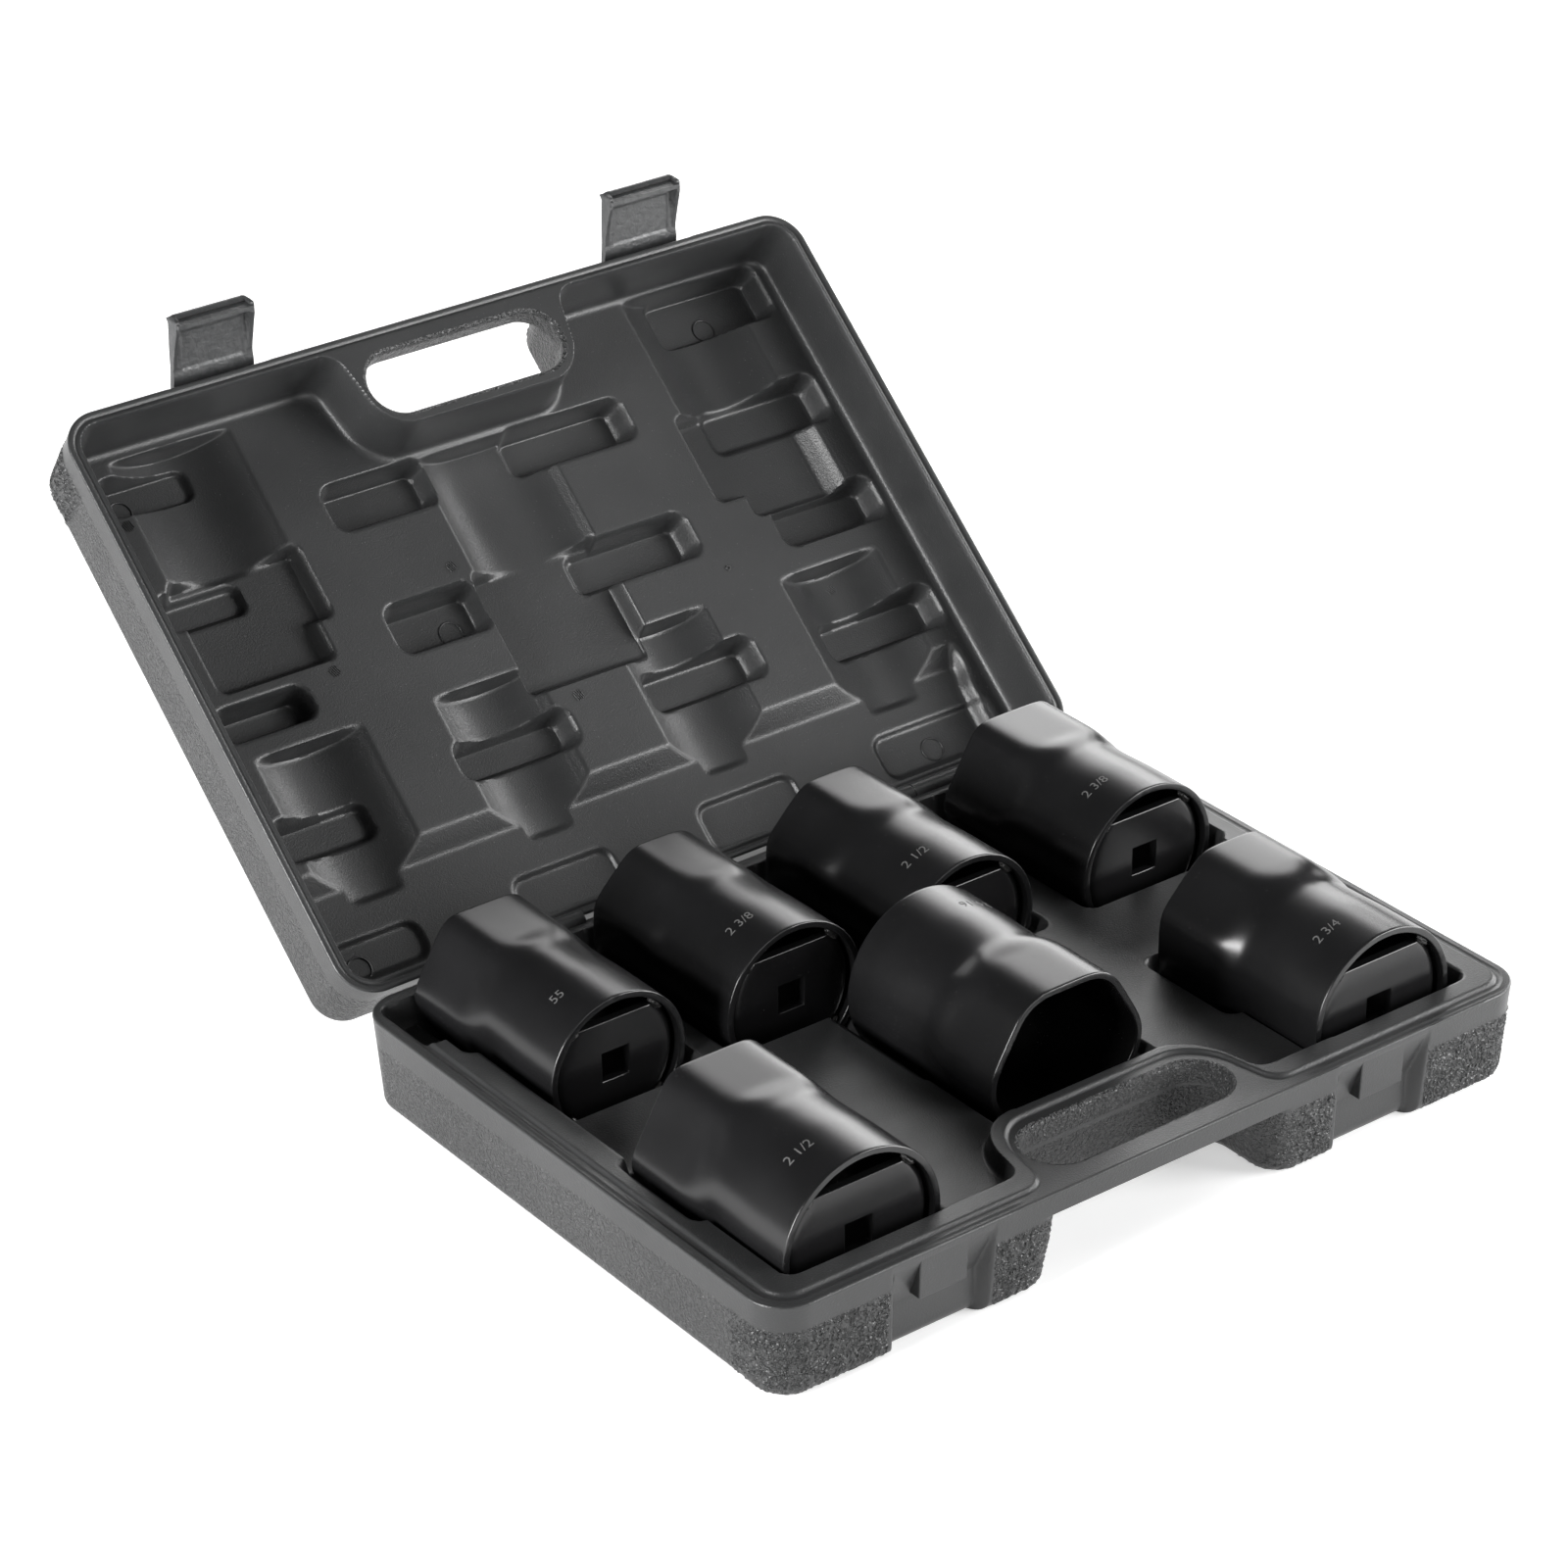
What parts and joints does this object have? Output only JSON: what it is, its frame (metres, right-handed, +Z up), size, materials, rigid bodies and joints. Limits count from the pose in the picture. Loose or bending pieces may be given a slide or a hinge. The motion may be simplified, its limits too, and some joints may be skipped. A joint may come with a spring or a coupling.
{
  "type": "socket wrench set in case",
  "caption": "Moulded carry case, hinged open, with a handle slot and snap latches, holding large formed-steel axle nut sockets in fitted cradles.",
  "frame": {"origin": "centre of the base's underside, on the surface it rests on", "axes": "+X along the case's long side, +Y from the handle to the hinge, +Z up; the lid is open at its stop"},
  "size_m": [0.38, 0.5083, 0.2547],
  "materials": {
    "case_plastic": "satin black, fine grain inside and coarse grain on the outer walls",
    "latch_plastic": "satin black",
    "socket_black": "semi-gloss black coating",
    "pin_steel": "plain drawn wire"
  },
  "bodies": {
    "base": {"base_outer_shell": "case_plastic", "base_inner_tray": "case_plastic", "hinge_pin_left": "pin_steel", "hinge_pin_right": "pin_steel"},
    "lid": {"lid_outer_shell": "case_plastic", "lid_inner_tray": "case_plastic", "latch_pin_left": "pin_steel", "latch_pin_right": "pin_steel"},
    "latch_left": {"latch_left": "latch_plastic"},
    "latch_right": {"latch_right": "latch_plastic"},
    "socket_55mm": {"socket_55mm_shell": "socket_black", "socket_55mm_drive_plate": "socket_black"},
    "socket_2_3_8_eight": {"socket_2_3_8_eight_shell": "socket_black", "socket_2_3_8_eight_drive_plate": "socket_black"},
    "socket_2_1_2_eight": {"socket_2_1_2_eight_shell": "socket_black", "socket_2_1_2_eight_drive_plate": "socket_black"},
    "socket_2_3_8_six": {"socket_2_3_8_six_shell": "socket_black", "socket_2_3_8_six_drive_plate": "socket_black"},
    "socket_2_9_16_six": {"socket_2_9_16_six_shell": "socket_black", "socket_2_9_16_six_drive_plate": "socket_black"},
    "socket_2_3_4_eight": {"socket_2_3_4_eight_shell": "socket_black", "socket_2_3_4_eight_drive_plate": "socket_black"},
    "socket_2_1_2_six": {"socket_2_1_2_six_shell": "socket_black", "socket_2_1_2_six_drive_plate": "socket_black"}
  },
  "joints": [
    {"name": "lid_hinge", "type": "hinge", "parent": "base", "child": "lid", "pos_m": [0, 0.1387, 0.043], "axis": [-1, 0, 0], "range_deg": [-139, 0]},
    {"name": "latch_left_hinge", "type": "hinge", "parent": "lid", "child": "latch_left", "pos_m": [-0.111, 0.35155, 0.2161], "axis": [-1, 0, 0], "range_deg": [-40, 50]},
    {"name": "latch_right_hinge", "type": "hinge", "parent": "lid", "child": "latch_right", "pos_m": [0.111, 0.35155, 0.2161], "axis": [-1, 0, 0], "range_deg": [-40, 50]},
    {"name": "socket_55mm_lift", "type": "slide", "parent": "base", "child": "socket_55mm", "axis": [0, 0, 1], "range_m": [0, 0.1]},
    {"name": "socket_2_3_8_eight_lift", "type": "slide", "parent": "base", "child": "socket_2_3_8_eight", "axis": [0, 0, 1], "range_m": [0, 0.1]},
    {"name": "socket_2_1_2_eight_lift", "type": "slide", "parent": "base", "child": "socket_2_1_2_eight", "axis": [0, 0, 1], "range_m": [0, 0.1]},
    {"name": "socket_2_3_8_six_lift", "type": "slide", "parent": "base", "child": "socket_2_3_8_six", "axis": [0, 0, 1], "range_m": [0, 0.1]},
    {"name": "socket_2_9_16_six_lift", "type": "slide", "parent": "base", "child": "socket_2_9_16_six", "axis": [0, 0, 1], "range_m": [0, 0.1]},
    {"name": "socket_2_3_4_eight_lift", "type": "slide", "parent": "base", "child": "socket_2_3_4_eight", "axis": [0, 0, 1], "range_m": [0, 0.1]},
    {"name": "socket_2_1_2_six_lift", "type": "slide", "parent": "base", "child": "socket_2_1_2_six", "axis": [0, 0, 1], "range_m": [0, 0.1]}
  ]
}
